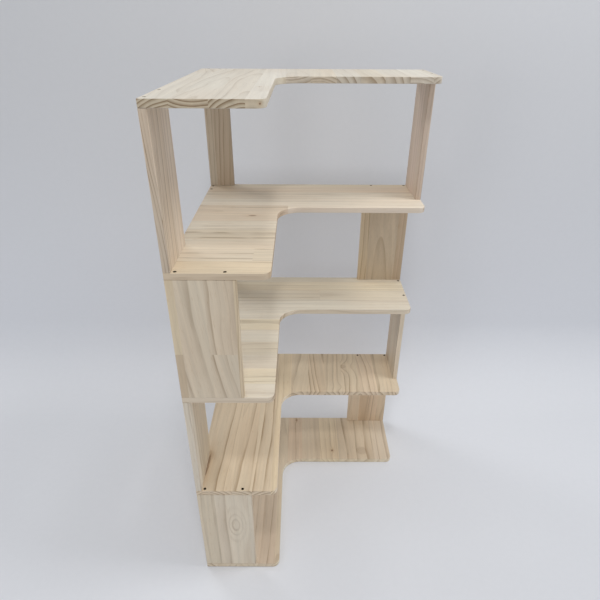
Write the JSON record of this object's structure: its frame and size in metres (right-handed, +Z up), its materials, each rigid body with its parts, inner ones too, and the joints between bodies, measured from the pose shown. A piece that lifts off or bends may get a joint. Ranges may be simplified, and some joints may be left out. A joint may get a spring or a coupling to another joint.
{
  "type": "corner shelf",
  "caption": "Free-standing L-shaped corner shelf of edge-glued pine boards on short flat uprights, screwed through the boards and open on all sides.",
  "frame": {"origin": "on the floor, under the middle of the square that holds the L-shaped footprint", "axes": "+Z up; the room corner is at -X and +Y, the left arm runs along -Y from it and the right arm along +X"},
  "size_m": [0.6, 0.6, 1.275],
  "materials": {
    "pine_board": "sanded, unfinished pine",
    "pine_upright": "sanded, unfinished pine",
    "screw_steel": "dark wood screw"
  },
  "bodies": {
    "root": {"bottom_board": "pine_board", "fourth_board": "pine_board", "third_board": "pine_board", "second_board": "pine_board", "top_board": "pine_board", "bay_1_left_upright": "pine_upright", "bay_1_corner_upright": "pine_upright", "bay_1_right_upright": "pine_upright", "bay_2_left_upright": "pine_upright", "bay_2_corner_upright": "pine_upright", "bay_2_right_upright": "pine_upright", "bay_3_left_upright": "pine_upright", "bay_3_corner_upright": "pine_upright", "bay_3_right_upright": "pine_upright", "bay_4_left_upright": "pine_upright", "bay_4_corner_upright": "pine_upright", "bay_4_right_upright": "pine_upright", "bay_1_left_top_screw_a": "screw_steel", "bay_1_left_top_screw_b": "screw_steel", "bay_1_left_foot_screw_a": "screw_steel", "bay_1_left_foot_screw_b": "screw_steel", "bay_1_corner_top_screw_a": "screw_steel", "bay_1_corner_top_screw_b": "screw_steel", "bay_1_corner_foot_screw_a": "screw_steel", "bay_1_corner_foot_screw_b": "screw_steel", "bay_1_right_top_screw_a": "screw_steel", "bay_1_right_top_screw_b": "screw_steel", "bay_1_right_foot_screw_a": "screw_steel", "bay_1_right_foot_screw_b": "screw_steel", "bay_2_left_top_screw_a": "screw_steel", "bay_2_left_top_screw_b": "screw_steel", "bay_2_left_foot_screw_a": "screw_steel", "bay_2_left_foot_screw_b": "screw_steel", "bay_2_corner_top_screw_a": "screw_steel", "bay_2_corner_top_screw_b": "screw_steel", "bay_2_corner_foot_screw_a": "screw_steel", "bay_2_corner_foot_screw_b": "screw_steel", "bay_2_right_top_screw_a": "screw_steel", "bay_2_right_top_screw_b": "screw_steel", "bay_2_right_foot_screw_a": "screw_steel", "bay_2_right_foot_screw_b": "screw_steel", "bay_3_left_top_screw_a": "screw_steel", "bay_3_left_top_screw_b": "screw_steel", "bay_3_left_foot_screw_a": "screw_steel", "bay_3_left_foot_screw_b": "screw_steel", "bay_3_corner_top_screw_a": "screw_steel", "bay_3_corner_top_screw_b": "screw_steel", "bay_3_corner_foot_screw_a": "screw_steel", "bay_3_corner_foot_screw_b": "screw_steel", "bay_3_right_top_screw_a": "screw_steel", "bay_3_right_top_screw_b": "screw_steel", "bay_3_right_foot_screw_a": "screw_steel", "bay_3_right_foot_screw_b": "screw_steel", "bay_4_left_top_screw_a": "screw_steel", "bay_4_left_top_screw_b": "screw_steel", "bay_4_corner_top_screw_a": "screw_steel", "bay_4_corner_top_screw_b": "screw_steel", "bay_4_right_top_screw_a": "screw_steel", "bay_4_right_top_screw_b": "screw_steel"}
  },
  "joints": []
}
